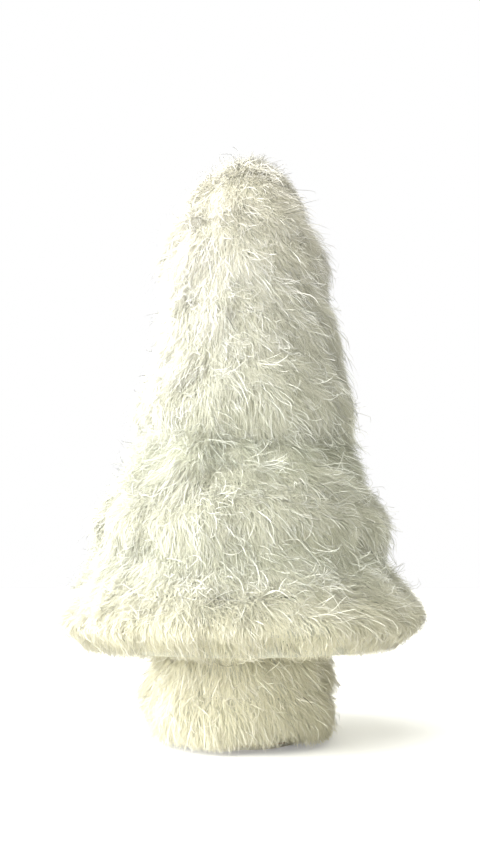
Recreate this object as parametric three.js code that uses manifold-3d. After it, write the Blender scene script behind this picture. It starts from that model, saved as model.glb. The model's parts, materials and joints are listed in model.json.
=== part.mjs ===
// A fluffy white table-top tinsel tree: turned foam cores stacked on a wooden dowel over a weighted foot,
// each core wound with its own length of tinsel garland. Millimetres, +Z up, origin at the foot's middle.
import * as THREE from "three";
import { mergeVertices } from "three/addons/utils/BufferGeometryUtils.js";
import Module from "manifold-3d";

const wasm = await Module();
wasm.setup();

// Clearances and facets
const SEAT_GAP = 0.3; // glue line between two pieces that seat on each other
const CUT_OVERRUN = 2; // how far a cutting shape runs past the face that it cuts
const ROUND_SIDES = 36;
const SMALL_SIDES = 12;

// Foot
const PAD = { radius: 28, thickness: 1.5 };
const BOARD = { thickness: 4, chamfer: 0.8 };
const BALLAST = { radius: 20, thickness: 5 };
const SCREW = { headRadius: 3.6, headRim: 0.6, coneHeight: 2, shankRadius: 1.6, length: 22, sunk: 0.4 };
const SCREW_SLOT = { width: 0.9, depth: 0.8 };

// Spine: the dowel stands on the board and ends inside the upper core
const DOWEL = { radius: 4, length: 232, chamfer: 0.8, pilotDepth: 18 };

// Foam cores, from the foot up. Each tier stands on its own card disc.
const TRUNK = { bottomRadius: 30, topRadius: 30, height: 40 };
const LOWER = { bottomRadius: 72, topRadius: 49, height: 49 };
const MIDDLE = { bottomRadius: 54, topRadius: 36, height: 49 };
const UPPER = { bottomRadius: 39, topRadius: 17, height: 118 };
const DISC = { thickness: 1.2, inset: 2 };

// Tinsel garland: a twisted wire core in a round of pile, which is flattened against the foam core that it is
// wound on. It lies level at the front and climbs a row over its climb share of each turn, across the back.
// The first turn grows there from a thin end along the core's foot, and the last one thins out along its top.
const HAND = -1; // which way it climbs: to the left as seen from the side
const BACK_ANGLE = Math.PI / 2;
const LOOP_STEPS = 24;
const TURN_GAP = 0.8; // left between one turn and the next, along the core's side
const GARLAND_END_HEIGHT = 8;
const ROUNDNESS_SHARE = 0.8; // half thickness of a thin stretch, as a share of its height
const WIRE = { radius: 1.1, sides: 4, loopSteps: 12, inset: 14, legDepth: 7 };

// The pile's outline, as shares of its half thickness (outwards) and of its half height (upwards).
// It hangs, so its fullest place is below the middle.
const PILE_OUTLINE_SHARES = [
  [1, -0.6],
  [0.84, 0.46],
  [0.12, 1],
  [-0.87, 0.86],
  [-0.87, -0.86],
  [0.36, -1],
];
const INNER_SHARE = 0.87; // how far the outline's inner face lies from its middle

// One garland for the trunk and one for each tier. Drop is how far it hangs below the core's foot,
// and headroom is what it leaves bare below the core's top.
const GARLANDS = {
  trunk: { halfThickness: 8.5, rows: 2, climbShare: 0.4, drop: 2, headroom: 1, strands: 44 },
  lower: { halfThickness: 11.5, rows: 2, climbShare: 0.4, drop: 4, headroom: 5, strands: 84 },
  middle: { halfThickness: 11, rows: 2, climbShare: 0.4, drop: 2, headroom: 5, strands: 64 },
  upper: { halfThickness: 10.5, rows: 4, climbShare: 0.75, drop: 1, headroom: 1, strands: 88 },
};

// The upper garland's end is bunched up on the core's top as the crown, which rises out of the last turn
const CROWN = { radius: 34, height: 25, strands: 20 };
const CROWN_ROOT_SHARES = [0.45, 0.7]; // where its skirt is sunk into the last turn's section
const CROWN_OUTLINE_SHARES = [
  [1, 0.2],
  [0.98, 0.42],
  [0.86, 0.66],
  [0.6, 0.86],
  [0.28, 0.97],
];

// Loose tinsel strands that stand out of the pile, each rooted in one facet of its open side
const STRAND = { length: 9.5, rootWidth: 1.8, buried: 2.2, sides: 3, apart: 2.4, floorGap: 0.8 };
const OPEN_FACES = [
  { corner: 0, dipShare: 0.25 },
  { corner: 5, dipShare: 0.95 },
]; // which sides of the outline carry strands, and how steeply those hang
const LEAN_SHARE = 0.35;
const GOLDEN_SHARE = (Math.sqrt(5) - 1) / 2; // spreads places evenly without lining them up

const FULL_TURN = 2 * Math.PI;
const Z_AXIS = new THREE.Vector3(0, 0, 1);

// Heights of the stack, each piece on the one below
const boardBottom = PAD.thickness + SEAT_GAP;
const boardTop = boardBottom + BOARD.thickness;
TRUNK.bottom = boardTop + SEAT_GAP;
LOWER.disc = TRUNK.bottom + TRUNK.height + SEAT_GAP;
LOWER.bottom = LOWER.disc + DISC.thickness + SEAT_GAP;
MIDDLE.disc = LOWER.bottom + LOWER.height + SEAT_GAP;
MIDDLE.bottom = MIDDLE.disc + DISC.thickness + SEAT_GAP;
UPPER.disc = MIDDLE.bottom + MIDDLE.height + SEAT_GAP;
UPPER.bottom = UPPER.disc + DISC.thickness + SEAT_GAP;
const upperTop = UPPER.bottom + UPPER.height;
const dowelBottom = boardTop + SEAT_GAP;
const dowelTop = dowelBottom + DOWEL.length;
const dowelBore = DOWEL.radius + SEAT_GAP;

// Materials
const finish = (color, roughness, metalness = 0) =>
  new THREE.MeshStandardMaterial({ color, roughness, metalness });
const tinsel = finish(0xf1efe2, 0.55);
const foam = finish(0xf6f6f3, 0.9);
const wood = finish(0xc9a472, 0.7);
const fibreboard = finish(0xb08d63, 0.8);
const card = finish(0xe9e6dc, 0.85);
const steel = finish(0xa9acb0, 0.35, 0.9);
const felt = finish(0xdedbd0, 0.95);

// Solid from a closed geometry, and back
function solidOf(geometry) {
  const bare = geometry.clone();
  bare.deleteAttribute("normal");
  bare.deleteAttribute("uv");
  const merged = mergeVertices(bare);
  return new wasm.Manifold(
    new wasm.Mesh({
      numProp: 3,
      vertProperties: new Float32Array(merged.attributes.position.array),
      triVerts: new Uint32Array(merged.index.array),
    }),
  );
}

function geometryOf(solid) {
  const mesh = solid.getMesh();
  const geometry = new THREE.BufferGeometry();
  geometry.setAttribute("position", new THREE.BufferAttribute(mesh.vertProperties, 3));
  geometry.setIndex(new THREE.BufferAttribute(mesh.triVerts, 1));
  geometry.computeVertexNormals();
  return geometry;
}

// A turned piece about +Z. The outline is a list of [radius, height], upwards on its outside.
function turned(outline, sides = ROUND_SIDES) {
  const points = outline.map(([radius, height]) => new THREE.Vector2(radius, height));
  return new THREE.LatheGeometry(points, sides).rotateX(Math.PI / 2);
}

// A round bar from one point to another
function bar(from, to, radius, sides) {
  const along = to.clone().sub(from);
  const geometry = new THREE.CylinderGeometry(radius, radius, along.length(), sides);
  geometry.rotateX(Math.PI / 2);
  geometry.applyQuaternion(new THREE.Quaternion().setFromUnitVectors(Z_AXIS, along.normalize()));
  return geometry.translate(...from.clone().add(to).divideScalar(2).toArray());
}

// A closed skin through rings of points, each going the same way round its path
function skin(rings, closingPoint) {
  const sides = rings[0].length;
  const positions = rings.flat();
  const triangles = [];
  for (let ring = 0; ring + 1 < rings.length; ring++)
    for (let side = 0; side < sides; side++) {
      const here = ring * sides + side;
      const beside = ring * sides + ((side + 1) % sides);
      triangles.push(here, beside, beside + sides, here, beside + sides, here + sides);
    }
  for (let side = 1; side + 1 < sides; side++) triangles.push(0, side + 1, side);
  const last = (rings.length - 1) * sides;
  if (closingPoint) {
    positions.push(closingPoint);
    for (let side = 0; side < sides; side++)
      triangles.push(last + side, last + ((side + 1) % sides), last + sides);
  } else for (let side = 1; side + 1 < sides; side++) triangles.push(last, last + side, last + side + 1);
  const geometry = new THREE.BufferGeometry().setFromPoints(positions);
  geometry.setIndex(triangles);
  return geometry;
}

// The side of a core seen in its half plane: a line with a direction up it and one straight out of it
function sideOf(core) {
  const length = Math.hypot(core.height, core.bottomRadius - core.topRadius);
  const up = { radius: (core.topRadius - core.bottomRadius) / length, height: core.height / length };
  return { length, up, out: { radius: up.height, height: -up.radius } };
}

const radiusAt = ({ bottom, height, bottomRadius, topRadius }, z) =>
  THREE.MathUtils.mapLinear(z, bottom, bottom + height, bottomRadius, topRadius);

// Lays a garland out on its core. Each turn's top edge is the next one's bottom edge.
function layOut(core, garland) {
  const side = sideOf(core);
  const pitch = (side.length + garland.drop - garland.headroom) / garland.rows;
  const start = (garland.climbShare * (GARLAND_END_HEIGHT + TURN_GAP)) / pitch;
  const steps = Math.floor((garland.rows + garland.climbShare - 2 * start) * LOOP_STEPS);
  return { core, ...garland, side, pitch, start, end: start + steps / LOOP_STEPS };
}

// How many rows the edge over a turn has climbed, from the core's foot up to its top
function rowsUp({ rows, climbShare }, turn) {
  const whole = Math.floor(turn);
  return THREE.MathUtils.clamp(whole + Math.min(1, (turn - whole) / climbShare), 0, rows);
}

// The garland's section after some turns: its middle, half sizes, and the directions outwards and up
function sectionAt(winding, turn) {
  const { core, side, pitch, drop, climbShare } = winding;
  const lower = pitch * rowsUp(winding, turn - 1) - drop + TURN_GAP / 2;
  const upper = pitch * rowsUp(winding, turn) - drop - TURN_GAP / 2;
  const halfThickness = Math.min(winding.halfThickness, ROUNDNESS_SHARE * (upper - lower));
  const climbed = (lower + upper) / 2;
  const seatRadius = core.bottomRadius + side.up.radius * climbed;
  const chordAllowance = seatRadius * (1 / Math.cos(Math.PI / LOOP_STEPS) - 1);
  const standoff = INNER_SHARE * halfThickness + SEAT_GAP;
  const angle = BACK_ANGLE + HAND * FULL_TURN * (turn - climbShare / 2);
  const away = new THREE.Vector3(Math.cos(angle), Math.sin(angle), 0);
  const inPlane = (r, z) => away.clone().multiplyScalar(r).addScaledVector(Z_AXIS, z);
  return {
    middle: inPlane(
      seatRadius + side.out.radius * standoff + chordAllowance,
      core.bottom + side.up.height * climbed + side.out.height * standoff,
    ),
    halfThickness,
    halfHeight: (upper - lower) / 2,
    away,
    out: inPlane(side.out.radius, side.out.height),
    up: inPlane(side.up.radius, side.up.height),
  };
}

// The point of a section at these shares of its half thickness and half height
const sectionPoint = (section, [outShare, upShare]) =>
  section.middle
    .clone()
    .addScaledVector(section.out, outShare * section.halfThickness)
    .addScaledVector(section.up, upShare * section.halfHeight);

function pileRing(winding, turn) {
  const section = sectionAt(winding, turn);
  return PILE_OUTLINE_SHARES.map((shares) => sectionPoint(section, shares));
}

// A thin ring about the garland's middle line, for its wire or the wire's bore
function wireRing(winding, turn, radius) {
  const { middle, out, up } = sectionAt(winding, turn);
  return Array.from({ length: WIRE.sides }, (_, side) => {
    const angle = (FULL_TURN * side) / WIRE.sides;
    return middle
      .clone()
      .addScaledVector(out, radius * Math.cos(angle))
      .addScaledVector(up, radius * Math.sin(angle));
  });
}

// Evenly spaced turn counts from one to another, with both ends
function turnSteps(from, to, loopSteps) {
  const count = Math.ceil((to - from) * loopSteps - 1e-6);
  return Array.from({ length: count + 1 }, (_, step) => from + ((to - from) * step) / count);
}

// Where the wire begins and ends, in turns: its legs run into the core there
function wireSpan(winding) {
  const inset = (turn) => {
    const { middle } = sectionAt(winding, turn);
    return WIRE.inset / (FULL_TURN * Math.hypot(middle.x, middle.y));
  };
  return [winding.start + inset(winding.start), winding.end - inset(winding.end)];
}

// A leg of the wire, square to the core's axis, or with a gap the hole that takes it
function leg(winding, turn, gap = 0) {
  const { middle, away } = sectionAt(winding, turn);
  const inner = away.clone().multiplyScalar(radiusAt(winding.core, middle.z) - WIRE.legDepth - gap);
  const start = middle.clone().addScaledVector(away, WIRE.radius + gap);
  return solidOf(bar(start, inner.setZ(middle.z), WIRE.radius + gap, WIRE.sides));
}

// The wire core, or with a gap its bore: the wound run with a leg at each end
function wireRun(winding, gap = 0) {
  const [first, last] = wireSpan(winding);
  const turns = turnSteps(first, last, WIRE.loopSteps);
  const rings = turns.map((turn) => wireRing(winding, turn, WIRE.radius + gap));
  return solidOf(skin(rings)).add(leg(winding, first, gap)).add(leg(winding, last, gap));
}

// A strand: a thin spike out of its root. Near the floor it falls less steeply.
function strand(root, direction) {
  const side = new THREE.Vector3().crossVectors(direction, Z_AXIS).normalize();
  const over = new THREE.Vector3().crossVectors(direction, side).normalize();
  const reach = direction.clone().multiplyScalar(STRAND.length);
  reach.z = Math.max(reach.z, STRAND.floorGap - root.z);
  const tip = root.clone().add(reach);
  const buried = root.clone().addScaledVector(reach, -STRAND.buried / STRAND.length);
  const base = Array.from({ length: STRAND.sides }, (_, corner) => {
    const angle = (FULL_TURN * corner) / STRAND.sides;
    return buried
      .clone()
      .addScaledVector(side, (STRAND.rootWidth / 2) * Math.cos(angle))
      .addScaledVector(over, (STRAND.rootWidth / 2) * Math.sin(angle));
  });
  const line = [0, 0.25, 0.5, 0.75, 1].map((t) => root.clone().lerp(tip, t));
  return { line, solid: solidOf(skin([base], tip)) };
}

// The facets of a winding's open side, in a spread order, each with the middle that a strand can root in
function openFacets(winding, rings) {
  const facets = [];
  for (let step = 0; step + 1 < rings.length; step++)
    for (const { corner, dipShare } of OPEN_FACES) {
      const next = (corner + 1) % PILE_OUTLINE_SHARES.length;
      const [here, beyond] = [rings[step], rings[step + 1]];
      const [a, b, c, d] = [here[corner], here[next], beyond[next], beyond[corner]];
      for (const corners of [[a, b, c], [a, c, d]]) {
        const root = corners.reduce((sum, point) => sum.add(point), new THREE.Vector3()).divideScalar(3);
        facets.push({ root, dipShare, turn: winding.start + (step + 0.5) / LOOP_STEPS });
      }
    }
  const order = facets.map((_, index) => ((index + 1) * GOLDEN_SHARE) % 1);
  return facets.map((facet, index) => ({ ...facet, place: order[index] })).sort((a, b) => a.place - b.place);
}

// Strands on a winding, as many as wanted of those that stay apart from every strand before them
function windingStrands(winding, rings, others) {
  const chosen = [];
  for (const { root, dipShare, turn, place } of openFacets(winding, rings)) {
    if (chosen.length === winding.strands) break;
    const { out, up, away } = sectionAt(winding, turn);
    const along = new THREE.Vector3().crossVectors(Z_AXIS, away);
    const direction = out
      .clone()
      .addScaledVector(up, -dipShare)
      .addScaledVector(along, LEAN_SHARE * Math.sin(FULL_TURN * turn * LOOP_STEPS * place))
      .normalize();
    const candidate = strand(root, direction);
    const isClear = ({ line }) => leastDistance(line, candidate.line) > STRAND.apart;
    if (others.every(isClear) && chosen.every(isClear)) chosen.push(candidate);
  }
  return chosen;
}

// Strands all over the crown, standing out of its dome
function crownStrands(base) {
  const lift = new THREE.Vector3(0, 0, base + CROWN.height / 2);
  const within = new THREE.Vector3(CROWN.radius, CROWN.radius, CROWN.height / 2).subScalar(STRAND.buried);
  return Array.from({ length: CROWN.strands }, (_, index) => {
    const tilt = (Math.PI / 2) * ((index + 0.5) / CROWN.strands);
    const angle = FULL_TURN * index * GOLDEN_SHARE;
    const away = new THREE.Vector3(Math.cos(angle), Math.sin(angle), 0);
    const direction = away.multiplyScalar(Math.sin(tilt)).addScaledVector(Z_AXIS, Math.cos(tilt));
    return strand(direction.clone().multiply(within).add(lift), direction);
  });
}

// The bunched end of the upper garland, seated on the core's top and rooted in the last row
function crownDome(winding, base) {
  const root = sectionPoint(sectionAt(winding, winding.rows), CROWN_ROOT_SHARES);
  const outline = CROWN_OUTLINE_SHARES.map(([out, up]) => [out * CROWN.radius, base + up * CROWN.height]);
  const seat = [winding.core.topRadius + SEAT_GAP, base];
  const skirt = [Math.hypot(root.x, root.y), root.z];
  return solidOf(turned([[0, base], seat, skirt, ...outline, [0, base + CROWN.height]], LOOP_STEPS));
}

// Least distance between two lists of points, taken from places along two lines or skins
function leastDistance(listA, listB) {
  let least = Infinity;
  for (const a of listA) for (const b of listB) least = Math.min(least, a.distanceTo(b));
  return least;
}

// Points all round a winding: on each ring and midway to the next one, at the corners and between them
function ringPoints(rings) {
  const midway = rings
    .slice(1)
    .map((ring, index) => ring.map((point, corner) => point.clone().lerp(rings[index][corner], 0.5)));
  const fromCorner = (ring, corner) =>
    [0, 1 / 3, 2 / 3].map((t) => ring[corner].clone().lerp(ring[(corner + 1) % ring.length], t));
  const withBetween = (ring) => ring.flatMap((_, corner) => fromCorner(ring, corner));
  return rings.flatMap((ring, index) => (midway[index] ? [ring, midway[index]] : [ring])).map(withBetween);
}

// The least gap between a winding and itself, between places that lie more than half a turn apart
function leastGapToItself(rings) {
  const outlines = ringPoints(rings);
  let least = Infinity;
  for (let i = 0; i < outlines.length; i++)
    for (let j = i + LOOP_STEPS; j < outlines.length; j++)
      least = Math.min(least, leastDistance(outlines[i], outlines[j]));
  return least;
}

// The least distance between the middle lines of two strands
function leastStrandGap(strands) {
  let least = Infinity;
  for (const [index, { line }] of strands.entries())
    for (const other of strands.slice(index + 1)) least = Math.min(least, leastDistance(line, other.line));
  return least;
}

const allStrands = [];

// The room that the dowel takes with its clearance, which it has in any piece that it reaches
const dowelSpace = () =>
  solidOf(
    turned(
      [
        [0, dowelBottom],
        [dowelBore, dowelBottom],
        [dowelBore, dowelTop + SEAT_GAP],
        [0, dowelTop + SEAT_GAP],
      ],
      SMALL_SIDES * 2,
    ),
  );

// A garland's pile as one closed body: the wound tube with its wire's bore, its strands and, on the upper
// one, the crown, which a long dowel runs up into
function pile(name, winding) {
  const rings = turnSteps(winding.start, winding.end, LOOP_STEPS).map((turn) => pileRing(winding, turn));
  let body = solidOf(skin(HAND < 0 ? rings : rings.map((ring) => ring.slice().reverse())));
  const strands = [];
  if (winding.crowned) {
    const base = winding.core.bottom + winding.core.height + SEAT_GAP;
    body = body.add(crownDome(winding, base).subtract(dowelSpace()));
    strands.push(...crownStrands(base));
  }
  strands.push(...windingStrands(winding, rings, [...allStrands, ...strands]));
  for (const { solid } of strands) body = body.add(solid);
  allStrands.push(...strands);
  const selfGap = leastGapToItself(rings).toFixed(2);
  console.log(`${name}: ${strands.length} strands, least gap to itself ${selfGap} mm`);
  return body.subtract(wireRun(winding, SEAT_GAP));
}

// A foam core about the dowel, with a hole for each leg of its garland's wire
function foamCore(core, winding, boreTop) {
  const top = core.bottom + core.height;
  const foot = [dowelBore, core.bottom];
  const outside = [[core.bottomRadius, core.bottom], [core.topRadius, top]];
  const bore = boreTop < top ? [[0, top], [0, boreTop], [dowelBore, boreTop]] : [[dowelBore, top]];
  let body = solidOf(turned([foot, ...outside, ...bore, foot]));
  for (const turn of wireSpan(winding)) body = body.subtract(leg(winding, turn, SEAT_GAP));
  return body;
}

function washer(innerRadius, outerRadius, bottom, thickness) {
  return turned([
    [innerRadius, bottom],
    [outerRadius, bottom],
    [outerRadius, bottom + thickness],
    [innerRadius, bottom + thickness],
    [innerRadius, bottom],
  ]);
}

function feltPad() {
  return turned([
    [0, 0],
    [PAD.radius, 0],
    [PAD.radius, PAD.thickness],
    [0, PAD.thickness],
  ]);
}

function baseBoard() {
  const radius = TRUNK.bottomRadius;
  const hole = SCREW.shankRadius + SEAT_GAP;
  const sink = SCREW.headRadius + SEAT_GAP;
  const rimTop = boardBottom + SCREW.sunk + SCREW.headRim + SEAT_GAP;
  return turned([
    [sink, boardBottom],
    [radius - BOARD.chamfer, boardBottom],
    [radius, boardBottom + BOARD.chamfer],
    [radius, boardTop],
    [hole, boardTop],
    [hole, rimTop + SCREW.coneHeight],
    [sink, rimTop],
    [sink, boardBottom],
  ]);
}

function baseScrew() {
  const head = boardBottom + SCREW.sunk;
  const cone = head + SCREW.headRim;
  const body = turned(
    [
      [0, head],
      [SCREW.headRadius, head],
      [SCREW.headRadius, cone],
      [SCREW.shankRadius, cone + SCREW.coneHeight],
      [SCREW.shankRadius, head + SCREW.length - SCREW.shankRadius],
      [0, head + SCREW.length],
    ],
    SMALL_SIDES,
  );
  const slotHeight = SCREW_SLOT.depth + CUT_OVERRUN;
  const slot = new THREE.BoxGeometry(2 * SCREW.headRadius + CUT_OVERRUN, SCREW_SLOT.width, slotHeight);
  slot.translate(0, 0, head + SCREW_SLOT.depth - slotHeight / 2);
  return geometryOf(solidOf(body).subtract(solidOf(slot)));
}

function centreDowel() {
  const pilot = SCREW.shankRadius + SEAT_GAP;
  return turned(
    [
      [pilot, dowelBottom],
      [DOWEL.radius, dowelBottom],
      [DOWEL.radius, dowelTop - DOWEL.chamfer],
      [DOWEL.radius - DOWEL.chamfer, dowelTop],
      [0, dowelTop],
      [0, dowelBottom + DOWEL.pilotDepth],
      [pilot, dowelBottom + DOWEL.pilotDepth],
      [pilot, dowelBottom],
    ],
    SMALL_SIDES * 2,
  );
}

// The trunk's foam, with a pocket underneath for the ballast plate
function trunkCore(winding) {
  const pocketTop = TRUNK.bottom + BALLAST.thickness + SEAT_GAP;
  const pocketBottom = TRUNK.bottom - CUT_OVERRUN;
  const pocketRadius = BALLAST.radius + SEAT_GAP;
  const pocket = turned([
    [0, pocketBottom],
    [pocketRadius, pocketBottom],
    [pocketRadius, pocketTop],
    [0, pocketTop],
  ]);
  return foamCore(TRUNK, winding, Infinity).subtract(solidOf(pocket));
}

const tree = new THREE.Group();

function place(name, geometry, material) {
  const mesh = new THREE.Mesh(geometry, material);
  mesh.name = name;
  tree.add(mesh);
}

const windings = {
  trunk: layOut(TRUNK, GARLANDS.trunk),
  lower: layOut(LOWER, GARLANDS.lower),
  middle: layOut(MIDDLE, GARLANDS.middle),
  upper: { ...layOut(UPPER, GARLANDS.upper), crowned: true },
};

place("felt_pad", feltPad(), felt);
place("base_board", baseBoard(), fibreboard);
place("base_screw", baseScrew(), steel);
place("ballast_plate", washer(dowelBore, BALLAST.radius, TRUNK.bottom, BALLAST.thickness), steel);
place("centre_dowel", centreDowel(), wood);
place("trunk_core", geometryOf(trunkCore(windings.trunk)), foam);
for (const [name, core] of Object.entries({ lower: LOWER, middle: MIDDLE, upper: UPPER })) {
  const discRadius = core.bottomRadius - DISC.inset;
  place(`${name}_tier_disc`, washer(dowelBore, discRadius, core.disc, DISC.thickness), card);
  const boreTop = core === UPPER ? dowelTop + SEAT_GAP : Infinity;
  place(`${name}_tier_core`, geometryOf(foamCore(core, windings[name], boreTop)), foam);
}
for (const [name, winding] of Object.entries(windings)) {
  place(`${name}_garland`, geometryOf(pile(name, winding)), tinsel);
  place(`${name}_garland_wire`, geometryOf(wireRun(winding)), steel);
}
const strandGap = leastStrandGap(allStrands).toFixed(2);
console.log(`${allStrands.length} strands: least distance between two middle lines ${strandGap} mm`);

export default tree;
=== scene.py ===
"""A fluffy white table-top tinsel tree, photographed against white.

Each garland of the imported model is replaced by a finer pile: a smooth wound body with its hair on it, a dense
soft undercoat and longer, thicker tinsel strands over that. The pieces inside keep their solids and get their
materials. Sizes are in millimetres where nothing else is said.
"""

import json
import math

import bpy
import numpy as np
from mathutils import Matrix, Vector
from mathutils.kdtree import KDTree


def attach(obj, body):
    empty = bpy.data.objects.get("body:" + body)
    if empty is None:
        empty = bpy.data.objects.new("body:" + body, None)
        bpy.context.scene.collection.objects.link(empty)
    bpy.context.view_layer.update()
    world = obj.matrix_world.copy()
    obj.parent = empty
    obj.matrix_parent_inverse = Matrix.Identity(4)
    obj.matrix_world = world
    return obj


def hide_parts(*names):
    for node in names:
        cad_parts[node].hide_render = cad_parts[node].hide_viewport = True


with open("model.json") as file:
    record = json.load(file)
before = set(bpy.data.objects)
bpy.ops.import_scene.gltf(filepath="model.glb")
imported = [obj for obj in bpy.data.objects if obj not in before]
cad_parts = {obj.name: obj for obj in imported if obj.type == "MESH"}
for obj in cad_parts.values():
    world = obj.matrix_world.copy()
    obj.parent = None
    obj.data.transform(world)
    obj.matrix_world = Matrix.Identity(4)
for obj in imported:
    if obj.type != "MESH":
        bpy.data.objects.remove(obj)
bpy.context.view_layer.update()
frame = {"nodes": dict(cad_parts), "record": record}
scene = bpy.context.scene
scene.view_settings.view_transform = "Standard"

MM = 0.001
FULL_TURN = 2 * math.pi
Z_AXIS = np.array([0.0, 0.0, 1.0])
TREE_HEIGHT = 300

# The camera, close and low, as a phone on the same table. Its place and target are in metres.
CAMERA_PLACE = (0.0, -0.52, 0.086)
CAMERA_TARGET = (0.0, 0.0, 0.1564)
CAMERA_LENS = 43
CAMERA_SENSOR = 36

# Light, with angles in degrees. Azimuth 0 comes from the camera's side, and 90 from the right.
LIGHTS = {
    "key": dict(azimuth=-74, elevation=12, strength=6.5, softness=60),
    "fill": dict(azimuth=-26, elevation=6, strength=2.6, softness=50),
    "top": dict(azimuth=-30, elevation=62, strength=1.5, softness=50),
    "back": dict(azimuth=150, elevation=14, strength=1.3, softness=80),
}
LIGHT_COLOUR = (0.985, 0.99, 1)
SURROUNDINGS_COLOUR = (1, 0.985, 0.82, 1)
SURROUNDINGS_STRENGTH = 0.5
FLOOR_REACH = 3  # metres
FLOOR_COLOUR = (0.92, 0.92, 0.9, 1)
FLOOR_GLOW = 0.25  # which only the camera sees

# The winding, as the part's own source has it, in millimetres and turns
SEAT_GAP = 0.3
HAND = -1
BACK_ANGLE = math.pi / 2
LOOP_STEPS = 24
TURN_GAP = 0.8
GARLAND_END_HEIGHT = 8
ROUNDNESS_SHARE = 0.8
INNER_SHARE = 0.87
OUTLINE_SHARES = [(1, -0.6), (0.84, 0.46), (0.12, 1), (-0.87, 0.86), (-0.87, -0.86), (0.36, -1)]
OUTER_SHARE = 0.12  # the outline's corners that lie this far out, or further, are on the open side
CORES = {
    "trunk": dict(foot=6.1, height=40, foot_radius=30, top_radius=30),
    "lower": dict(foot=47.9, height=49, foot_radius=72, top_radius=49),
    "middle": dict(foot=98.7, height=49, foot_radius=54, top_radius=36),
    "upper": dict(foot=149.5, height=118, foot_radius=39, top_radius=17),
}
GARLANDS = {
    "trunk": dict(half_thickness=8.5, rows=2, climb_share=0.4, drop=2, headroom=1),
    "lower": dict(half_thickness=11.5, rows=2, climb_share=0.4, drop=4, headroom=5),
    "middle": dict(half_thickness=11, rows=2, climb_share=0.4, drop=2, headroom=5),
    "upper": dict(half_thickness=10.5, rows=4, climb_share=0.75, drop=1, headroom=1),
}
HANGS_ON = {"lower": "trunk", "middle": "lower", "upper": "middle"}
LEAN = {"upper": 2}  # how far a garland's pile sits to the right

# The crown on the upper garland
CROWNED = "upper"
CROWN_MIDDLE = 268
CROWN_FOOT = 258
CROWN_CAP = 1  # how far its top lies above the last point of the reach below
CROWN_SIDES = 96
CROWN_SKIRT_DEPTH = 3
CROWN_ROWS = slice(None, -2, 2)  # every other step of its skin, up to near the top

# How far the hair of each garland reaches from the tree's middle, as heights and radii
REACH = {
    "trunk": [(0, 46.5), (12, 48.5), (19, 51), (30, 47.5), (46, 45)],
    "lower": [
        (45.5, 76), (50, 85), (55, 91), (60, 93), (66, 91.5), (77, 82), (89, 73), (97, 68.5), (104, 62),
    ],
    "middle": [
        (76, 73), (84, 77), (91, 73.5), (97, 75), (104, 77), (110, 76), (122, 68.5), (134, 60.7), (142, 57.2),
        (150, 51.5), (155, 46),
    ],
    "upper": [
        (128, 57), (136, 58), (145, 54), (151, 54.5), (163, 58), (170, 57), (182, 53), (194, 49.5),
        (207, 49.5), (220, 46), (246, 43.5), (256, 41), (266, 36), (272, 34), (279, 31.5), (285.5, 27.5),
        (292, 20.5), (297, 13), (301, 4),
    ],
}
SWELL = 2.0  # how far the hair's surface swells and dips
SWELL_SIZE = 34
SWELL_SEED = 3
DEEPEST_DIP = -0.7  # where the dips end
SKIN_SMOOTHING = 3  # how many steps of the skin to each side share their direction
LEAST_RADIUS = 0.2

# The hem of each garland: height is where its longest strands end, body how far above that the pile's body
# ends, and underside how near the tree's middle its hair begins. Its outer strands are shorter by rise,
# uneven and fray, beyond the radius to which it is even, and skew makes a deep fray rarer. fringe is how
# much longer the strands near it are, as a share.
HEMS = {
    "trunk": dict(
        height=0.4, body=3.5, underside=31, rise=0, uneven=0.6, fray=3.5, skew=1.5, even_to=0, fringe=0
    ),
    "lower": dict(
        height=40.5, body=14, underside=45, rise=5, uneven=5, fray=8, skew=1, even_to=76, fringe=0.6
    ),
    "middle": dict(
        height=75, body=8, underside=62, rise=0, uneven=5, fray=10, skew=1, even_to=0, fringe=0
    ),
    "upper": dict(
        height=122, body=9, underside=46, rise=0, uneven=5, fray=11, skew=1, even_to=0, fringe=0
    ),
}
EVEN_EDGE = 8  # over which a hem turns from even to uneven
LEAST_UNEVEN_SHARE = 0.4
FRINGE_HEIGHT = 18
FRINGE_EDGE = 6
RAGGED_SIZE = 18
RAGGED_SHARE = 0.6
LEAST_TRIMMED_SHARE = 0.3
LEAST_HANG = 0.1  # what a strand is taken to hang down at least, as its trimming divides by that
FLOOR_GAP = 0.3

# The pile's own body
BODY_STEPS = 72
BODY_DEPTH = 7  # how far it lies inside the hair's surface
HOLLOW_DEPTH = 1.6  # how much deeper it lies between two rows, at most
ROW_OVERLAP = 0.4
BODY_HANG = 6  # how much further its first row hangs down, and its last one stands up
WIRE_COVER = 1.6  # how far it reaches out from the garland's middle line, where its wire is
WIRE_ROUNDNESS = 0.2  # how fast that falls off above and below the wire
SQUASHED_SHARE = 0.25  # of what would hang below the hem
BODY_ROUGHNESS = 0.5  # how far its surface swells and dips
BODY_ROUGHNESS_SIZE = 9
BODY_ROUGHNESS_SEED = 11
BODY_OPEN_SHARE = 0.1  # the outline's points that lie further out than this are rough

# The pile close round the rims of the foam and card in the lower tier, as radii and heights
LIP_OUTLINE = [(70.2, 46), (73.2, 46), (74.5, 49), (74.5, 58), (70.2, 58)]
LIP_SIDES = 144

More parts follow.
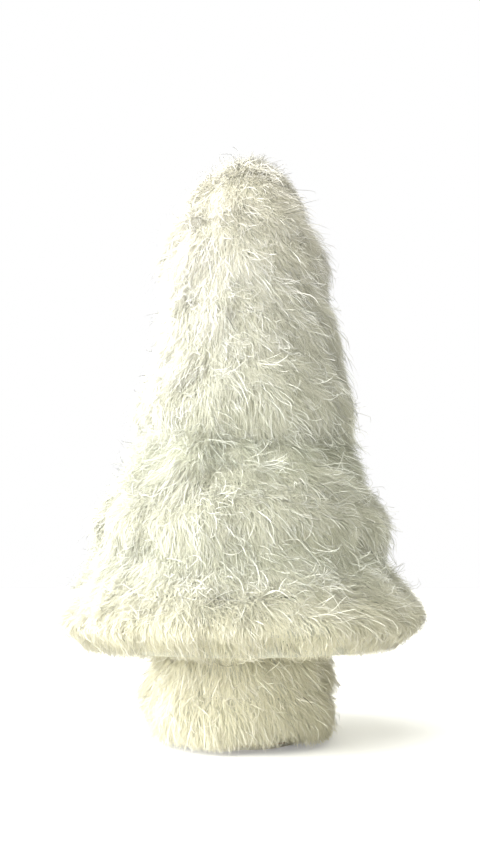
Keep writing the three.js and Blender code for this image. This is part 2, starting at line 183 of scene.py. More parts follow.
# Hair. per_area is strands for each square millimetre of pile. lift, comb and lean say how far a strand
# points out of the pile, down it and round it, and stray how far it strays from that. proud is how far it
# may stand out of the reach above: least, most, and how rare the most is. Strands gather in tufts, tuft
# apart, by a share drawn from gather, and scatter is how far each one's light differs from the pile's.
STYLES = {
    "undercoat": dict(
        per_area=2.5, length=(8, 11.5), width=(0.14, 0.21), segments=2,
        lift=0.75, comb=0.95, lean=0.2, stray=0.22, droop=0.4, curl=0.3,
        proud=(-1.8, 0.4, 1), tuft=5, gather=(0.0, 0.1), scatter=0.15,
    ),
    "strands": dict(
        per_area=0.22, length=(8, 19), width=(0.21, 0.33), segments=5,
        lift=0.66, comb=0.72, lean=0.55, stray=0.46, droop=0.5, curl=1.1,
        proud=(0.4, 7, 2.4), tuft=6, gather=(0.0, 0.6), scatter=0.4,
    ),
}
ROOT_HEIGHT = 0.5  # how far out of the body's surface the roots lie
ROOT_LENGTH = 1.0  # how far a strand begins inside its root
DOWNHILL_SHARE = 0.45  # how far it is combed down a steep slope of the pile, and not straight down
UPFACING_SHARE = 0.3  # how much less it is combed and droops where the pile faces up
LIFT_SPREAD = (0.7, 1.2)
COMB_SPREAD = (0.6, 1.2)
LEAST_LIFT = 0.12
STRAY_ALONE_SHARE = 0.7  # of a strand's stray, what it doesn't share with its lock
LOCKS = [(16, 0.5), (5, 0.4)]  # how large the locks are that stray alike, and how far
PATCH_SIZE = 22  # of patches with longer or shorter hair
PATCH_SHARE = 0.3
CURL_SCALE = 2  # the steps of a curl grow towards the tip, and with this add up to about all of it
TUFT_BEND = 1.4
HELD_SHARE = 0.85  # of what would stand out of the reach
STRAND_SIDES = 3  # so that one triangle closes its root
STRAND_TAPER = 0.45
FACES_PER_PIECE = 190_000

# Painted shade and light on the strands, as heights and tones: darker where the tiers meet and a hem shades the
# pile under it, lighter towards the crown, where light falls from above
PAINTED_SHADING_BY_HEIGHT = [
    (0, 0.75), (44, 0.78), (60, 0.9), (80, 0.8), (91, 0.45), (100, 0.65), (118, 0.65), (130, 0.45),
    (141, 0.25), (152, 0.5), (165, 0.65), (200, 0.75), (240, 0.9), (262, 1), (310, 1),
]
TONE_WAVE = 3  # how far those heights wander
TONE_WAVE_SIZE = 30
TONE_SEED = 21
# How far each strand's own tone differs at random, on top of the painted shade
TONE_SPREAD = 0.16
TONE_ENDS = (0.01, 0.99)
TONE_ACROSS = 0.003  # from one side of a strand to the next, so that its UV map has some width
UV_MARGIN = 0.01  # left free at both ends of a strand in its UV map

# The cast of the strands, as heights and colours: creamy at the foot and the crown, cooler between them
CASTS = [(50, (255, 251, 240)), (80, (251, 251, 250)), (220, (251, 250, 253)), (275, (255, 252, 251))]
# A strand's tone runs from the darker colour, painted shade as olive as the pile where the tiers meet, to the
# brighter one
PAINTED_SHADE_TINT = (213, 217, 200)
BRIGHT_TINT = (255, 254, 246)
TIP_SHARE = 0.7  # how far up a strand its tip's colour begins

# Seeds: each garland has ten. Its two styles of hair take the first two, and their shape the sixth to ninth.
SEEDS_EACH = 10
SHAPE_SEED = 5

# What the pieces inside are made of, by the record's material slots. scale is how fine the noise is, to the
# metre, and bump_depth is in metres.
FINISHES = {
    "foam": dict(
        name="foam", dark=(228, 228, 224), light=(248, 248, 246),
        scale=320, stretch=(1, 1, 1), roughness=0.85, bump_depth=0.0006,
    ),
    "card": dict(
        name="card", dark=(214, 208, 192), light=(236, 232, 220),
        scale=900, stretch=(1, 1, 4), roughness=0.8, bump_depth=0.0001,
    ),
    "wood": dict(
        name="dowel_wood", dark=(176, 132, 84), light=(219, 184, 138),
        scale=260, stretch=(3, 3, 0.15), roughness=0.6, bump_depth=0.0002,
    ),
    "fibreboard": dict(
        name="fibreboard", dark=(146, 112, 76), light=(190, 156, 112),
        scale=700, stretch=(1, 1, 3), roughness=0.8, bump_depth=0.0002,
    ),
    "steel": dict(
        name="zinc_plate", dark=(150, 152, 156), light=(196, 198, 202),
        scale=240, stretch=(1, 1, 1), roughness=0.32, bump_depth=0.00005, metallic=1.0,
    ),
    "wire": dict(
        name="core_wire", dark=(132, 134, 138), light=(188, 190, 194),
        scale=900, stretch=(1, 1, 1), roughness=0.35, bump_depth=0.0001, metallic=1.0,
    ),
    "felt": dict(
        name="felt", dark=(206, 202, 188), light=(232, 229, 218),
        scale=1500, stretch=(1, 1, 1), roughness=0.95, bump_depth=0.0004,
    ),
}


# ---- Camera and stage ----


def make_camera():
    """The photograph's view: it looks a little up at the upper rows."""
    place, target = Vector(CAMERA_PLACE), Vector(CAMERA_TARGET)
    camera = bpy.data.objects.new("camera", bpy.data.cameras.new("camera"))
    camera.data.sensor_width = CAMERA_SENSOR
    camera.data.lens = CAMERA_LENS
    camera.location = place
    camera.rotation_euler = (target - place).to_track_quat("-Z", "Y").to_euler()
    scene.collection.objects.link(camera)
    scene.camera = camera


def soft_sun(name, azimuth, elevation, strength, softness):
    """A distant soft light."""
    lamp = bpy.data.lights.new(name, "SUN")
    lamp.energy = strength
    lamp.color = LIGHT_COLOUR
    lamp.angle = math.radians(softness)
    item = bpy.data.objects.new(name, lamp)
    a, e = math.radians(azimuth), math.radians(elevation)
    back = Vector((math.sin(a) * math.cos(e), -math.cos(a) * math.cos(e), math.sin(e)))
    item.rotation_euler = back.to_track_quat("Z", "Y").to_euler()
    scene.collection.objects.link(item)


def shader(name):
    """A new material, with its nodes, its links and its main shader."""
    material = bpy.data.materials.new(name)
    material.use_nodes = True
    tree = material.node_tree
    return material, tree.nodes, tree.links, tree.nodes["Principled BSDF"]


def make_floor():
    """A white floor that keeps the tree's shadow."""
    corners = [(x * FLOOR_REACH, y * FLOOR_REACH, 0) for x, y in ((-1, -1), (1, -1), (1, 1), (-1, 1))]
    mesh = bpy.data.meshes.new("floor")
    mesh.from_pydata(corners, [], [(0, 1, 2, 3)])
    floor = bpy.data.objects.new("floor", mesh)
    scene.collection.objects.link(floor)
    material, nodes, links, principled = shader("floor")
    principled.inputs["Base Color"].default_value = FLOOR_COLOUR
    principled.inputs["Roughness"].default_value = 1
    principled.inputs["Specular IOR Level"].default_value = 0
    glow = nodes.new("ShaderNodeEmission")
    path = nodes.new("ShaderNodeLightPath")
    share = nodes.new("ShaderNodeMath")
    share.operation = "MULTIPLY"
    share.inputs[1].default_value = FLOOR_GLOW
    both = nodes.new("ShaderNodeAddShader")
    links.new(path.outputs["Is Camera Ray"], share.inputs[0])
    links.new(share.outputs[0], glow.inputs["Strength"])
    links.new(principled.outputs[0], both.inputs[0])
    links.new(glow.outputs[0], both.inputs[1])
    links.new(both.outputs[0], nodes["Material Output"].inputs["Surface"])
    mesh.materials.append(material)


def make_surroundings():
    """White all round for the camera and for reflections, and a weaker, warmer light from all round."""
    world = bpy.data.worlds.new("world")
    world.use_nodes = True
    scene.world = world
    nodes, links = world.node_tree.nodes, world.node_tree.links
    seen = nodes["Background"]
    seen.inputs["Color"].default_value = (1, 1, 1, 1)
    lit = nodes.new("ShaderNodeBackground")
    lit.inputs["Color"].default_value = SURROUNDINGS_COLOUR
    lit.inputs["Strength"].default_value = SURROUNDINGS_STRENGTH
    path = nodes.new("ShaderNodeLightPath")
    either = nodes.new("ShaderNodeMath")
    either.operation = "MAXIMUM"
    mix = nodes.new("ShaderNodeMixShader")
    links.new(path.outputs["Is Camera Ray"], either.inputs[0])
    links.new(path.outputs["Is Glossy Ray"], either.inputs[1])
    links.new(either.outputs[0], mix.inputs["Fac"])
    links.new(lit.outputs[0], mix.inputs[1])
    links.new(seen.outputs[0], mix.inputs[2])
    links.new(mix.outputs[0], nodes["World Output"].inputs["Surface"])


# ---- Materials ----


def linear(*srgb):
    """A colour as the shaders take it, from its values in a picture, 0 to 255."""
    shares = [value / 255 for value in srgb]
    return tuple(s / 12.92 if s <= 0.04045 else ((s + 0.055) / 1.055) ** 2.4 for s in shares) + (1.0,)


def colour_ramp(nodes, stops):
    """A ramp through two or more positions and colours."""
    ramp = nodes.new("ShaderNodeValToRGB")
    elements = ramp.color_ramp.elements
    for index, (position, colour) in enumerate(stops):
        element = elements[index] if index < 2 else elements.new(position)
        element.position = position
        element.color = linear(*colour)
    return ramp


def tree_cast(nodes, links):
    """The slight cast of the tinsel by height, as a colour that multiplies its own."""
    place = nodes.new("ShaderNodeTexCoord")
    split = nodes.new("ShaderNodeSeparateXYZ")
    share = nodes.new("ShaderNodeMath")
    share.operation = "DIVIDE"
    share.inputs[1].default_value = TREE_HEIGHT * MM
    ramp = colour_ramp(nodes, [(height / TREE_HEIGHT, colour) for height, colour in CASTS])
    links.new(place.outputs["Object"], split.inputs[0])
    links.new(split.outputs["Z"], share.inputs[0])
    links.new(share.outputs[0], ramp.inputs["Fac"])
    return ramp.outputs[0]


def multiplied(nodes, links, first, second):
    """The product of two colours."""
    mix = nodes.new("ShaderNodeMix")
    mix.data_type = "RGBA"
    mix.blend_type = "MULTIPLY"
    mix.inputs["Factor"].default_value = 1
    links.new(first, mix.inputs["A"])
    links.new(second, mix.inputs["B"])
    return mix.outputs["Result"]


def hair_material(name, root, tip, roughness, specular):
    """Colour along the strand, darker at the root as painted shade deep in the pile, a tone for each strand
    that carries painted shade by height, and the cast at its height. The UV map runs the tone across and the
    strand's length up."""
    material, nodes, links, principled = shader(name)
    uv = nodes.new("ShaderNodeUVMap")
    uv.uv_map = "OFBake"
    split = nodes.new("ShaderNodeSeparateXYZ")
    along = colour_ramp(nodes, [(0, root), (TIP_SHARE, tip)])
    shade_ramp = colour_ramp(nodes, [(0, PAINTED_SHADE_TINT), (1, BRIGHT_TINT)])
    links.new(uv.outputs[0], split.inputs[0])
    links.new(split.outputs["Y"], along.inputs["Fac"])
    links.new(split.outputs["X"], shade_ramp.inputs["Fac"])
    colour = multiplied(nodes, links, along.outputs[0], shade_ramp.outputs[0])
    links.new(multiplied(nodes, links, colour, tree_cast(nodes, links)), principled.inputs["Base Color"])
    principled.inputs["Roughness"].default_value = roughness
    principled.inputs["Specular IOR Level"].default_value = specular
    return material


def grained_material(
    name, dark, light, scale, stretch, roughness, bump_depth,
    metallic=0.0, detail=4, ends=(0.3, 0.7), bump_strength=1,
):
    """Two colours in stretched noise, which also raises the surface."""
    material, nodes, links, principled = shader(name)
    place = nodes.new("ShaderNodeTexCoord")
    mapping = nodes.new("ShaderNodeMapping")
    mapping.inputs["Scale"].default_value = stretch
    noise = nodes.new("ShaderNodeTexNoise")
    noise.inputs["Scale"].default_value = scale
    noise.inputs["Detail"].default_value = detail
    ramp = colour_ramp(nodes, zip(ends, (dark, light)))
    bump = nodes.new("ShaderNodeBump")
    bump.inputs["Distance"].default_value = bump_depth
    bump.inputs["Strength"].default_value = bump_strength
    links.new(place.outputs["Object"], mapping.inputs["Vector"])
    links.new(mapping.outputs[0], noise.inputs["Vector"])
    links.new(noise.outputs["Fac"], ramp.inputs["Fac"])
    links.new(ramp.outputs[0], principled.inputs["Base Color"])
    links.new(noise.outputs["Fac"], bump.inputs["Height"])
    links.new(bump.outputs[0], principled.inputs["Normal"])
    principled.inputs["Roughness"].default_value = roughness
    principled.inputs["Metallic"].default_value = metallic
    return material


# ---- The winding ----


def lay_out(name):
    """A garland with its winding: the directions up its core's side and straight out of it, its pitch, and
    the turns at which it starts and ends."""
    garland, core = GARLANDS[name], CORES[name]
    length = math.hypot(core["height"], core["foot_radius"] - core["top_radius"])
    up = np.array([(core["top_radius"] - core["foot_radius"]) / length, core["height"] / length])
    out = np.array([up[1], -up[0]])
    pitch = (length + garland["drop"] - garland["headroom"]) / garland["rows"]
    start = garland["climb_share"] * (GARLAND_END_HEIGHT + TURN_GAP) / pitch
    steps = math.floor((garland["rows"] + garland["climb_share"] - 2 * start) * LOOP_STEPS)
    end = start + steps / LOOP_STEPS
    return dict(garland, name=name, up=up, out=out, pitch=pitch, start=start, end=end)


def rows_up(garland, turn):
    """How many rows the garland has climbed after these turns."""
    whole = np.floor(turn)
    return np.clip(whole + np.minimum(1, (turn - whole) / garland["climb_share"]), 0, garland["rows"])


def section_at(garland, turn):
    """The garland's sections after these turns: middles, half sizes and the directions outwards and up."""
    core, side_up, side_out = CORES[garland["name"]], garland["up"], garland["out"]
    lower = garland["pitch"] * rows_up(garland, turn - 1) - garland["drop"] + TURN_GAP / 2
    upper = garland["pitch"] * rows_up(garland, turn) - garland["drop"] - TURN_GAP / 2
    half_thickness = np.minimum(garland["half_thickness"], ROUNDNESS_SHARE * (upper - lower))
    climbed = (lower + upper) / 2
    seat_radius = core["foot_radius"] + side_up[0] * climbed
    chord_allowance = seat_radius * (1 / math.cos(math.pi / LOOP_STEPS) - 1)
    standoff = INNER_SHARE * half_thickness + SEAT_GAP
    away = outwards(BACK_ANGLE + HAND * FULL_TURN * (turn - garland["climb_share"] / 2))
    radius = seat_radius + side_out[0] * standoff + chord_allowance
    height = core["foot"] + side_up[1] * climbed + side_out[1] * standoff
    middle = away * radius[:, None] + Z_AXIS * height[:, None]
    out = away * side_out[0] + Z_AXIS * side_out[1]
    up = away * side_up[0] + Z_AXIS * side_up[1]
    return middle, half_thickness, (upper - lower) / 2, out, up


def outwards(angle):
    """The level directions at these angles."""
    return np.stack([np.cos(angle), np.sin(angle), np.zeros_like(angle)], -1)


def radius_of(points):
    """How far these points are from the tree's middle."""
    return np.linalg.norm(points[..., :2], axis=-1, keepdims=True)


def unit(vectors):
    """These vectors, each made one long."""
    return vectors / np.maximum(np.linalg.norm(vectors, axis=-1, keepdims=True), 1e-9)


def rounded(points, closed, rounds=2):
    """An outline with its corners cut a quarter in, again and again."""
    points = np.array(points, float)
    for _ in range(rounds):
        following = np.roll(points, -1, 0) if closed else points[1:]
        here = points if closed else points[:-1]
        cut = np.stack([0.75 * here + 0.25 * following, 0.25 * here + 0.75 * following], 1).reshape(-1, 2)
        points = cut if closed else np.concatenate([points[:1], cut, points[-1:]])
    return points


def drift(points, size, seed, waves=7, spread=(0.6, 1.5), scale=2.2):
    """A smooth random vector at each point, about one long, that changes over this size."""
    random = np.random.default_rng(seed)
    total = np.zeros_like(points)
    for _ in range(waves):
        wave = random.normal(size=(3, 3))
        wave *= (FULL_TURN / size) * random.uniform(*spread) / np.linalg.norm(wave, axis=0)
        total += np.sin(points @ wave + random.uniform(0, FULL_TURN, 3))
    return total / scale


def swell_at(points):
    """How far the pile swells out or dips in at these points."""
    return np.maximum(SWELL * drift(points, SWELL_SIZE, SWELL_SEED)[..., 0], DEEPEST_DIP)


def reach_at(name, height):
    """How far a garland's hair may reach at these heights, over its own pile and the one that it hangs on."""
    own = np.interp(height, *zip(*REACH[name]))
    if name not in HANGS_ON:
        return own
    return np.maximum(own, np.interp(height, *zip(*REACH[HANGS_ON[name]])))


def skin_profile(name, depth):
    """A garland's reach drawn in by so much, in its half plane: points upwards, about 1 mm apart, and the
    directions straight out."""
    outline = [(HEMS[name]["underside"], REACH[name][0][0])]
    outline += [(radius, height) for height, radius in REACH[name]]
    if name == CROWNED:
        outline.append((0, outline[-1][1] + CROWN_CAP))
    corners = rounded(outline, closed=False)
    along = np.concatenate([[0], np.cumsum(np.linalg.norm(np.diff(corners, axis=0), axis=1))])
    steps = np.linspace(0, along[-1], int(along[-1]))
    points = np.stack([np.interp(steps, along, corners[:, axis]) for axis in (0, 1)], -1)
    tangent = unit(np.gradient(points, axis=0))
    window = 2 * SKIN_SMOOTHING + 1
    smooth = np.ones(window) / window
    padded = [np.pad(tangent[:, axis], SKIN_SMOOTHING, "edge") for axis in (0, 1)]
    tangent = unit(np.stack([np.convolve(values, smooth, "valid") for values in padded], -1))
    out = np.stack([tangent[:, 1], -tangent[:, 0]], -1)
    points = points - out * depth
    points[:, 0] = np.maximum(points[:, 0], LEAST_RADIUS)
    return points, out


# ---- The pile's own body ----


def pile_points(garland, turn, shares):
    """Points on the pile's own body at these turns and outline shares: inside the hair's reach, over the wire
    and above the hem."""
    name = garland["name"]
    middle, thick, tall, out, up = section_at(garland, turn)
    depth = BODY_DEPTH * np.clip((shares[..., 0] + INNER_SHARE) / (1 + INNER_SHARE), 0, 1)
    outward = thick * shares[..., 0] - depth
    upward = np.maximum(tall + ROW_OVERLAP, 0) * shares[..., 1]
    is_first = 1 - np.clip(rows_up(garland, turn - 1), 0, 1)
    is_last = np.clip(rows_up(garland, turn) - garland["rows"] + 1, 0, 1)
    upward = upward + BODY_HANG * shares[..., 1] * np.where(shares[..., 1] < 0, is_first, is_last)
    points = middle + out * outward[..., None] + up * upward[..., None]
    is_outer = np.clip(shares[..., :1] / OUTER_SHARE, 0, 1)
    climbed = points[..., 2:] - middle[..., 2:]
    covering = radius_of(middle) + WIRE_COVER - WIRE_ROUNDNESS * climbed ** 2
    skin, _ = skin_profile(name, BODY_DEPTH)
    most = np.interp(points[..., 2:], np.maximum.accumulate(skin[:, 1]), skin[:, 0])
    most = np.maximum(most + swell_at(points)[..., None], covering)
    radius = radius_of(points)
    wanted = np.clip(radius, (most - HOLLOW_DEPTH) * is_outer, most)
    points[..., :2] *= wanted / np.maximum(radius, 1)
    points[..., 0] += LEAN.get(name, 0)
    radius = radius_of(points)
    points[..., :2] *= np.where(is_outer > 0.5, np.maximum(radius, covering), radius) / np.maximum(radius, 1)
    lowest = HEMS[name]["height"] + HEMS[name]["body"]
    points[..., 2] = np.maximum(points[..., 2], lowest + SQUASHED_SHARE * (points[..., 2] - lowest))
    return points


def tube(rings, ends):
    """Points, quads and triangles of a skin through these rings, with a fan round a point at each end."""
    count, sides = rings.shape[:2]
    here = np.arange((count - 1) * sides).reshape(count - 1, sides)
    beside = np.roll(here, -1, 1)
    quads = np.stack([here, beside, beside + sides, here + sides], -1).reshape(-1, 4)
    around = np.arange(sides)
    following = np.roll(around, -1)
    first, last, last_ring = count * sides, count * sides + 1, (count - 1) * sides
    fans = [
        np.stack([np.full(sides, first), following, around], -1),
        np.stack([np.full(sides, last), around + last_ring, following + last_ring], -1),
    ]
    return np.concatenate([rings.reshape(-1, 3), ends]), quads, np.concatenate(fans)


def wound_body(garland):
    """The winding, with round corners and a slightly uneven surface."""
    outline = rounded(OUTLINE_SHARES, closed=True)
    start, end = garland["start"], garland["end"]
    turns = np.linspace(start, end, round((end - start) * BODY_STEPS) + 1)
    columns = [pile_points(garland, turns, np.broadcast_to(shares, (len(turns), 2))) for shares in outline]
    rings = np.stack(columns, 1)
    middle, _, _, out, _ = section_at(garland, turns)
    uneven = drift(rings.reshape(-1, 3), BODY_ROUGHNESS_SIZE, BODY_ROUGHNESS_SEED)
    uneven = uneven.reshape(rings.shape)[..., 0]
    is_open = outline[:, 0] > BODY_OPEN_SHARE
    rings += out[:, None] * (BODY_ROUGHNESS * uneven * is_open)[..., None]
    return tube(rings, middle[[0, -1]])


def crown_body():
    """A swollen dome that begins inside the last turn."""
    skin, out = skin_profile(CROWNED, BODY_DEPTH)
    chosen = np.flatnonzero(skin[:, 1] > CROWN_FOOT)[CROWN_ROWS]
    around = outwards(np.linspace(0, FULL_TURN, CROWN_SIDES, endpoint=False))
    rings = around[None] * skin[chosen, None, :1] + Z_AXIS * skin[chosen, None, 1:]
    straight = around[None] * out[chosen, None, :1] + Z_AXIS * out[chosen, None, 1:]
    rings = rings + straight * swell_at(rings.reshape(-1, 3)).reshape(len(chosen), CROWN_SIDES, 1)
    skirt = around * (skin[chosen[0], 0] - CROWN_SKIRT_DEPTH) + Z_AXIS * CROWN_FOOT
    rings = np.concatenate([skirt[None], rings])
    points, quads, fans = tube(rings, rings.mean(1)[[0, -1]] * Z_AXIS)
    return points + [LEAN[CROWNED], 0, 0], quads, fans


def lip_body():
    """A ring of pile on the lower tier's rim."""
    outline = rounded(LIP_OUTLINE, closed=True)
    around = outwards(np.linspace(0, FULL_TURN, LIP_SIDES, endpoint=False))
    rings = around[:, None] * outline[None, :, :1] + Z_AXIS * outline[None, :, 1:]
    here = np.arange(rings.shape[0] * rings.shape[1]).reshape(rings.shape[:2])
    above, beside = np.roll(here, -1, 1), np.roll(here, -1, 0)
    quads = np.stack([here, beside, np.roll(beside, -1, 1), above], -1).reshape(-1, 4)
    return rings.reshape(-1, 3), quads, np.zeros((0, 3), int)


def joined(bodies):
    """Several bodies' points and faces as one list of each."""
    vertices, quads, fans, offset = [], [], [], 0
    for points, four, three in bodies:
        vertices.append(points)
        quads.append(four + offset)
        fans.append(three + offset)
        offset += len(points)
    return np.concatenate(vertices), np.concatenate(quads), np.concatenate(fans)


MORE_BODIES = {"upper": [crown_body], "lower": [lip_body]}


# ---- Hair ----


def skin_roots(name, per_area, random):
    """Places all over a garland's skin, so many to each square millimetre, with the direction straight out of
    it, the one down it and the place's angle."""
    points, out = skin_profile(name, BODY_DEPTH - ROOT_HEIGHT)
    weights = points[:, 0] * np.linalg.norm(np.gradient(points, axis=0), axis=1)
    count = int(per_area * FULL_TURN * weights.sum())
    spot = random.choice(len(points) - 1, count, p=weights[:-1] / weights[:-1].sum())
    part = random.uniform(0, 1, (len(spot), 1))
    angle = random.uniform(0, FULL_TURN, len(spot))
    away = outwards(angle)
    place = points[spot] + (points[spot + 1] - points[spot]) * part
    straight = unit(out[spot] + (out[spot + 1] - out[spot]) * part)
    roots = away * place[:, :1] + Z_AXIS * place[:, 1:]
    normals = away * straight[:, :1] + Z_AXIS * straight[:, 1:]
    downhill = DOWNHILL_SHARE + (1 - DOWNHILL_SHARE) * np.clip(straight[:, 1:], 0, 1)
    down = unit(downhill * (away * straight[:, 1:] - Z_AXIS * straight[:, :1]) - (1 - downhill) * Z_AXIS)
    return roots + normals * swell_at(roots)[:, None], normals, down, angle


def gather_share(roots, spacing):
    """The share of strands that lie about this far apart."""
    spots = np.unique(np.floor(roots / spacing).astype(int), axis=0)
    return min(1, len(spots) / len(roots))


def gathered(lines, roots, spacing, gather, random):
    """Strands drawn together into tufts about so far apart: each bends towards its tuft's own strand."""
    count = len(lines)
    heads = random.choice(count, max(1, int(count * gather_share(roots, spacing))), replace=False)
    tree = KDTree(len(heads))
    for index, head in enumerate(heads):
        tree.insert(roots[head], index)
    tree.balance()
    own = heads[[tree.find(root)[1] for root in roots]]
    along = np.linspace(0, 1, lines.shape[1])[None, :, None] ** TUFT_BEND
    pull = random.uniform(*gather, (count, 1, 1)) * along
    return lines + pull * (lines[own] - lines)


def within_reach(name, line, proud):
    """The lines with most of what stands out of the reach drawn in."""
    radius = radius_of(line)[..., 0]
    height = line[..., 2]
    drawn = 1 - HELD_SHARE * np.maximum(0, radius - reach_at(name, height) - proud) / np.maximum(radius, 1)
    if name == CROWNED:
        top = [(r, z - CROWN_MIDDLE) for z, r in REACH[name] if z > CROWN_MIDDLE]
        tilts, sizes = [math.atan2(z, r) for r, z in top], [math.hypot(r, z) for r, z in top]
        size = np.hypot(radius, height - CROWN_MIDDLE)
        most = np.interp(np.arctan2(height - CROWN_MIDDLE, radius), tilts, sizes) + proud
        domed = 1 - HELD_SHARE * np.maximum(0, size - most) / np.maximum(size, 1)
        in_crown = height > CROWN_MIDDLE
        drawn = np.where(in_crown, domed, drawn)
        height = np.where(in_crown, CROWN_MIDDLE + (height - CROWN_MIDDLE) * domed, height)
    flat = line[..., :2] / np.maximum(radius_of(line), 1e-6)
    return np.concatenate([flat * (radius * drawn)[..., None], height[..., None]], -1)


def first_heading(roots, normals, down, style, random, seed):
    """Where each strand points at its root: out of the pile, combed down it, and astray with its lock."""
    count = len(roots)
    locks = sum(strength * drift(roots, size, seed + index) for index, (size, strength) in enumerate(LOCKS))
    round_it = unit(np.cross(Z_AXIS, roots * [1, 1, 0]))
    combed = 1 - UPFACING_SHARE * np.clip(normals[:, 2:], 0, 1)
    heading = unit(
        normals * (style["lift"] * random.uniform(*LIFT_SPREAD, (count, 1)))
        + down * (style["comb"] * random.uniform(*COMB_SPREAD, (count, 1)) * combed)
        + round_it * style["lean"]
        + style["stray"] * (locks + STRAY_ALONE_SHARE * random.normal(size=(count, 3)))
    )
    lift = (heading * normals).sum(1, keepdims=True)
    return unit(heading + normals * np.maximum(0, LEAST_LIFT - lift))


def trimmed(name, line, roots, random, seed):
    """The lines cut short where they would hang below their garland's hem."""
    hem = HEMS[name]
    ragged = np.clip(0.5 + RAGGED_SHARE * drift(roots, RAGGED_SIZE, seed + 3)[:, :1], 0, 1)
    fray = random.uniform(0, 1, (len(roots), 1)) ** hem["skew"]
    uneven = np.clip((radius_of(roots) - hem["even_to"]) / EVEN_EDGE, LEAST_UNEVEN_SHARE, 1)
    end = hem["height"] + uneven * (hem["rise"] + ragged * hem["uneven"] + fray * hem["fray"])
    root, tip = line[:, :1], line[:, -1:, 2]
    kept = (root[..., 2] - end) / np.maximum(root[..., 2] - tip, LEAST_HANG)
    line = root + (line - root) * np.where(tip < end, np.clip(kept, LEAST_TRIMMED_SHARE, 1), 1)[..., None]
    line[..., 2] = np.maximum(line[..., 2], FLOOR_GAP)
    return line


def grow(name, roots, normals, down, style, random, seed):
    """The middle lines of strands, (strand, point, xyz): out of the pile, down it, drooping and curling."""
    count, segments = len(roots), style["segments"]
    patches = 1 + PATCH_SHARE * drift(roots, PATCH_SIZE, seed + 2)[:, 0]
    nearness = np.clip((HEMS[name]["height"] + FRINGE_HEIGHT - roots[:, 2]) / FRINGE_EDGE, 0, 1)
    length = random.uniform(*style["length"], count) * patches * (1 + HEMS[name]["fringe"] * nearness)
    heading = first_heading(roots, normals, down, style, random, seed)
    turning = unit(random.normal(size=(count, 3))) * style["curl"] * random.normal(size=(count, 1))
    droop = style["droop"] / segments * (1 - UPFACING_SHARE * np.clip(normals[:, 2:], 0, 1))
    line = [roots - normals * ROOT_LENGTH]
    step = (length / segments)[:, None]
    for index in range(segments):
        share = (index + 1) / segments
        bend = np.cross(turning, heading) * (CURL_SCALE / segments) * share
        heading = unit(heading - Z_AXIS * droop + bend)
        line.append(line[-1] + heading * step)
    line = gathered(np.stack(line, 1), roots, style["tuft"], style["gather"], random)
    low, high, skew = style["proud"]
    proud = low + (high - low) * random.uniform(0, 1, (count, 1)) ** skew + swell_at(roots)[:, None]
    return trimmed(name, within_reach(name, line, proud), roots, random, seed)


def shading_and_tone_at(roots, random):
    """How bright each strand is: painted shade by its height, darkest where the tiers meet and lightest at the
    crown, with its own random tone on top.
    """
    height = roots[:, 2] + TONE_WAVE * drift(roots, TONE_WAVE_SIZE, TONE_SEED)[:, 0]
    shading_and_tones = np.interp(height, *zip(*PAINTED_SHADING_BY_HEIGHT))
    return np.clip(shading_and_tones + TONE_SPREAD * random.normal(size=len(roots)), *TONE_ENDS)


def strand_mesh(lines, widths, shading_and_tones, random):
    """Thin closed strands along their lines, tapering to a point, with their UV map."""
    count, points = lines.shape[:2]
    tangent = unit(np.gradient(lines, axis=1))
    across = unit(np.cross(tangent, random.normal(size=(count, 1, 3))))
    over = np.cross(tangent, across)
    share = np.linspace(0, 1, points)
    thickness = widths[:, None] / 2 * (1 - STRAND_TAPER * share ** 2)
    edges = []
    for corner in range(STRAND_SIDES):
        angle = FULL_TURN * corner / STRAND_SIDES
        offset = across * math.cos(angle) + over * math.sin(angle)
        edges.append(lines[:, :-1] + (offset * thickness[..., None])[:, :-1])
    rings = np.stack(edges, 2).reshape(count, -1, 3)
    vertices = np.concatenate([rings, lines[:, -1:]], 1)
    per_strand = vertices.shape[1]
    place = shading_and_tones[:, None]
    u = place + TONE_ACROSS * (np.tile(np.arange(STRAND_SIDES), points - 1) - 1)
    u = np.concatenate([u, place], 1)
    v = np.concatenate([np.repeat(share[:-1], STRAND_SIDES), [1]])
    uv = np.stack([u, np.broadcast_to(v * (1 - 2 * UV_MARGIN) + UV_MARGIN, u.shape)], -1)
    last_ring = (points - 2) * STRAND_SIDES
    quads, threes = [], [(0, 2, 1)]
    for ring in range(points - 1):
        for corner in range(STRAND_SIDES):
            here = ring * STRAND_SIDES + corner
            beside = ring * STRAND_SIDES + (corner + 1) % STRAND_SIDES
            if here < last_ring:
                quads.append((here, beside, beside + STRAND_SIDES, here + STRAND_SIDES))
            else:
                threes.append((here, beside, per_strand - 1))
    offsets = (np.arange(count) * per_strand)[:, None, None]
    quads = (np.array(quads)[None] + offsets).reshape(-1, 4)
    threes = (np.array(threes)[None] + offsets).reshape(-1, 3)
    return vertices.reshape(-1, 3), quads, threes, uv.reshape(-1, 2)


# ---- Pieces ----


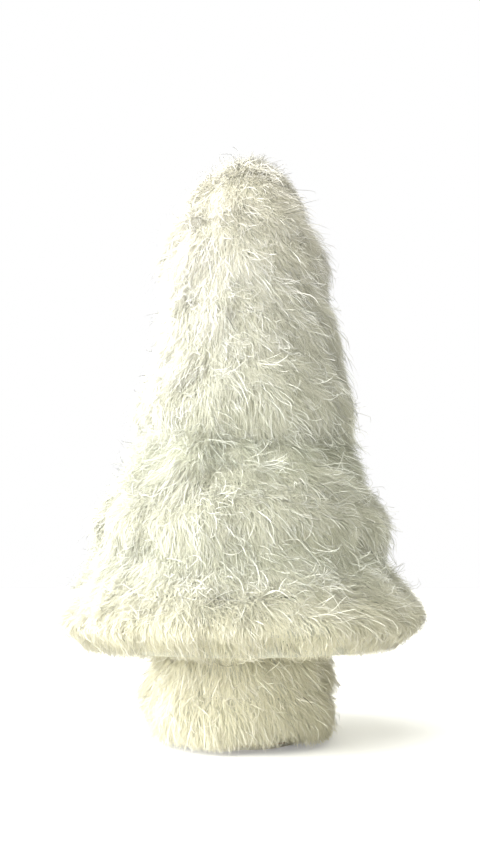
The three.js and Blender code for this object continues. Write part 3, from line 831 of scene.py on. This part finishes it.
def make_object(name, vertices, faces, material, uv=None, normals=None):
    """A smooth-shaded mesh in metres. faces is a list of index arrays, each of faces with as many corners,
    and uv and normals are given for each vertex."""
    mesh = bpy.data.meshes.new(name)
    mesh.vertices.add(len(vertices))
    mesh.vertices.foreach_set("co", (np.asarray(vertices, np.float32) * MM).ravel())
    corners = np.concatenate([block.ravel() for block in faces]).astype(np.int32)
    sizes = np.concatenate([np.full(len(block), block.shape[1]) for block in faces])
    mesh.loops.add(len(corners))
    mesh.loops.foreach_set("vertex_index", corners)
    mesh.polygons.add(len(sizes))
    mesh.polygons.foreach_set("loop_start", np.concatenate([[0], np.cumsum(sizes)[:-1]]).astype(np.int32))
    mesh.polygons.foreach_set("use_smooth", np.ones(len(sizes), bool))
    if uv is not None:
        layer = mesh.uv_layers.new(name="OFBake")
        layer.data.foreach_set("uv", uv[corners].astype(np.float32).ravel())
    mesh.materials.append(material)
    mesh.update(calc_edges=True)
    if normals is not None:
        mesh.normals_split_custom_set_from_vertices(normals)
    item = bpy.data.objects.new(name, mesh)
    scene.collection.objects.link(item)
    return item


def add_hair(name, node, lines, widths, shading_and_tones, normals, angles, material, random):
    """The strands as pieces of at most so many faces each, one sector of the tree to a piece, lit as the soft
    surface that they make up together."""
    segments = lines.shape[1] - 1
    triangles = STRAND_SIDES * (2 * (segments - 1) + 1) + 1
    parts = math.ceil(len(lines) * triangles / FACES_PER_PIECE)
    for index, chosen in enumerate(np.array_split(np.argsort(angles), parts)):
        vertices, quads, threes, uv = strand_mesh(lines[chosen], widths[chosen], shading_and_tones[chosen], random)
        lit = np.repeat(normals[chosen], len(vertices) // len(chosen), 0)
        piece = make_object(f"{name}_{index + 1}", vertices, [quads, threes], material, uv, lit)
        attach(piece, "root")
        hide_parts(node)


def dress(name, materials, seed):
    """A garland's pile in place of its solid: its body, its undercoat and its tinsel strands."""
    node = f"{name}_garland"
    bodies = [wound_body(lay_out(name))] + [more() for more in MORE_BODIES.get(name, [])]
    vertices, quads, fans = joined(bodies)
    body = make_object(f"{name}_pile_body", vertices, [quads, fans], materials["body"])
    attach(body, "root")
    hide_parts(node)
    for index, (label, style) in enumerate(STYLES.items()):
        random = np.random.default_rng(seed * SEEDS_EACH + index)
        roots, normals, down, angles = skin_roots(name, style["per_area"], random)
        lines = grow(name, roots, normals, down, style, random, seed * SEEDS_EACH + SHAPE_SEED)
        lines[..., 0] += LEAN.get(name, 0)
        widths = random.uniform(*style["width"], len(roots))
        # Painted shade by height, with each strand's own random tone
        shading_and_tones = shading_and_tone_at(roots, random)
        shared = unit(normals + style["scatter"] * random.normal(size=normals.shape))
        add_hair(f"{name}_{label}", node, lines, widths, shading_and_tones, shared, angles, materials[label], random)


make_camera()
make_floor()
make_surroundings()
for name, light in LIGHTS.items():
    soft_sun(name, **light)

# The pile's own body is seen only between the hairs. Its colour is darkened as painted shade for the shadowed
# depth between them, and it is streaked, with painted shade in the hollows of its bumps
materials = {
    "body": grained_material(
        "tinsel_pile_body_painted_shade", dark=(188, 187, 168), light=(214, 213, 195), scale=1400, stretch=(1, 1, 0.22),
        roughness=0.85, bump_depth=0.0008, detail=3, ends=(0.32, 0.66), bump_strength=0.8,
    ),
    # Both kinds of strand are darker towards the root, as painted shade deep in the pile
    "undercoat": hair_material(
        "tinsel_undercoat", root=(232, 231, 212), tip=(246, 245, 234), roughness=0.6, specular=0.4
    ),
    "strands": hair_material(
        "tinsel_strand", root=(253, 253, 246), tip=(255, 255, 254), roughness=0.28, specular=0.9
    ),
}
for seed, name in enumerate(GARLANDS, 1):
    dress(name, materials, seed)

finishes = {slot: grained_material(**look) for slot, look in FINISHES.items()}
for subpart in frame["record"]["subparts"]:
    node, slot = subpart["node"], subpart["material_slot"]
    if slot in finishes:
        item = frame["nodes"][node]
        for material_slot in item.material_slots:
            material_slot.link = "OBJECT"
            material_slot.material = finishes[slot]
